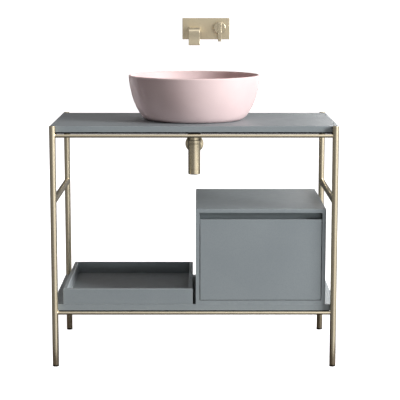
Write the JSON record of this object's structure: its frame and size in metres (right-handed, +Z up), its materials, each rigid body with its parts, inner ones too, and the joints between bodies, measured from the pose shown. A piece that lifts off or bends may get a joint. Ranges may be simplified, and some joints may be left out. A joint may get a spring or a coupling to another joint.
{
  "type": "vessel sink on vanity",
  "caption": "Metal-framed washstand with a round countertop basin, wall mixer tap, bottle trap, loose tray and a drawer unit on a lower shelf.",
  "frame": {"origin": "on the floor under the middle of the metal frame's footprint", "axes": "+Z up, +X to the right as seen from the front, front faces -Y, the wall is the plane y = +0.25"},
  "size_m": [0.9, 0.5, 1.0878],
  "materials": {
    "frame_metal": "satin champagne gold plating",
    "fitting_metal": "fine-brushed champagne gold",
    "grey_lacquer": "matt blue-grey lacquer on fibreboard",
    "black_board": "matt black",
    "basin_ceramic": "matt pink glaze",
    "foot_plastic": "moulded, dark",
    "runner_steel": "zinc plated",
    "black_rubber": "matt"
  },
  "bodies": {
    "washstand": {"leg_front_left": "frame_metal", "leg_front_right": "frame_metal", "leg_rear_left": "frame_metal", "leg_rear_right": "frame_metal", "upper_rail_front": "frame_metal", "upper_rail_rear": "frame_metal", "upper_rail_left": "frame_metal", "upper_rail_right": "frame_metal", "lower_rail_front": "frame_metal", "lower_rail_rear": "frame_metal", "lower_rail_left": "frame_metal", "lower_rail_right": "frame_metal", "towel_rail_left": "frame_metal", "towel_rail_right": "frame_metal", "foot_front_left": "foot_plastic", "foot_front_right": "foot_plastic", "foot_rear_left": "foot_plastic", "foot_rear_right": "foot_plastic", "worktop": "grey_lacquer", "shelf": "grey_lacquer", "unit_top": "grey_lacquer", "unit_base": "grey_lacquer", "unit_left_side": "grey_lacquer", "unit_right_side": "grey_lacquer", "unit_back": "grey_lacquer", "grip_rail": "grey_lacquer", "worktop_subpanel": "black_board", "shelf_subpanel": "black_board", "runner_left_case": "runner_steel", "runner_right_case": "runner_steel", "basin": "basin_ceramic", "waste_body": "fitting_metal", "trap_nut": "fitting_metal", "trap_bottle": "fitting_metal", "trap_outlet_pipe": "fitting_metal", "wall_rosette": "fitting_metal", "tap_plate": "fitting_metal", "tap_spout": "fitting_metal", "waste_washer": "black_rubber", "waste_backnut": "runner_steel", "tap_cartridge": "runner_steel", "trap_dip_tube": "foot_plastic", "tap_aerator": "foot_plastic"},
    "drawer": {"drawer_front": "grey_lacquer", "drawer_left_side": "grey_lacquer", "drawer_right_side": "grey_lacquer", "drawer_back": "grey_lacquer", "drawer_bottom": "grey_lacquer", "runner_left_drawer": "runner_steel", "runner_right_drawer": "runner_steel"},
    "runner_middles": {"runner_left_middle": "runner_steel", "runner_right_middle": "runner_steel"},
    "tray": {"tray_front": "grey_lacquer", "tray_rear": "grey_lacquer", "tray_left": "grey_lacquer", "tray_right": "grey_lacquer", "tray_base": "grey_lacquer"},
    "plug": {"waste_plug": "fitting_metal"},
    "lever_carrier": {"tap_lever_carrier": "runner_steel"},
    "lever": {"tap_lever": "fitting_metal"}
  },
  "joints": [
    {"name": "drawer_slide", "type": "slide", "parent": "washstand", "child": "drawer", "axis": [0, -1, 0], "range_m": [0, 0.35]},
    {"name": "runner_middle_slide", "type": "slide", "parent": "washstand", "child": "runner_middles", "axis": [0, -1, 0], "range_m": [0, 0.175]},
    {"name": "tray_pull", "type": "slide", "parent": "washstand", "child": "tray", "axis": [0, -1, 0], "range_m": [0, 0.45]},
    {"name": "plug_lift", "type": "slide", "parent": "washstand", "child": "plug", "axis": [0, 0, 1], "range_m": [0, 0.008]},
    {"name": "lever_turn", "type": "hinge", "parent": "washstand", "child": "lever_carrier", "pos_m": [0.0857, 0.25, 1.0548], "axis": [0, -1, 0], "range_deg": [-45, 45]},
    {"name": "lever_tilt", "type": "hinge", "parent": "lever_carrier", "child": "lever", "pos_m": [0.0857, 0.225, 1.0548], "axis": [-1, 0, 0], "range_deg": [0, 22]}
  ],
  "couplings": [
    {"joint": "runner_middle_slide", "follows": "drawer_slide", "ratio": 0.5}
  ]
}
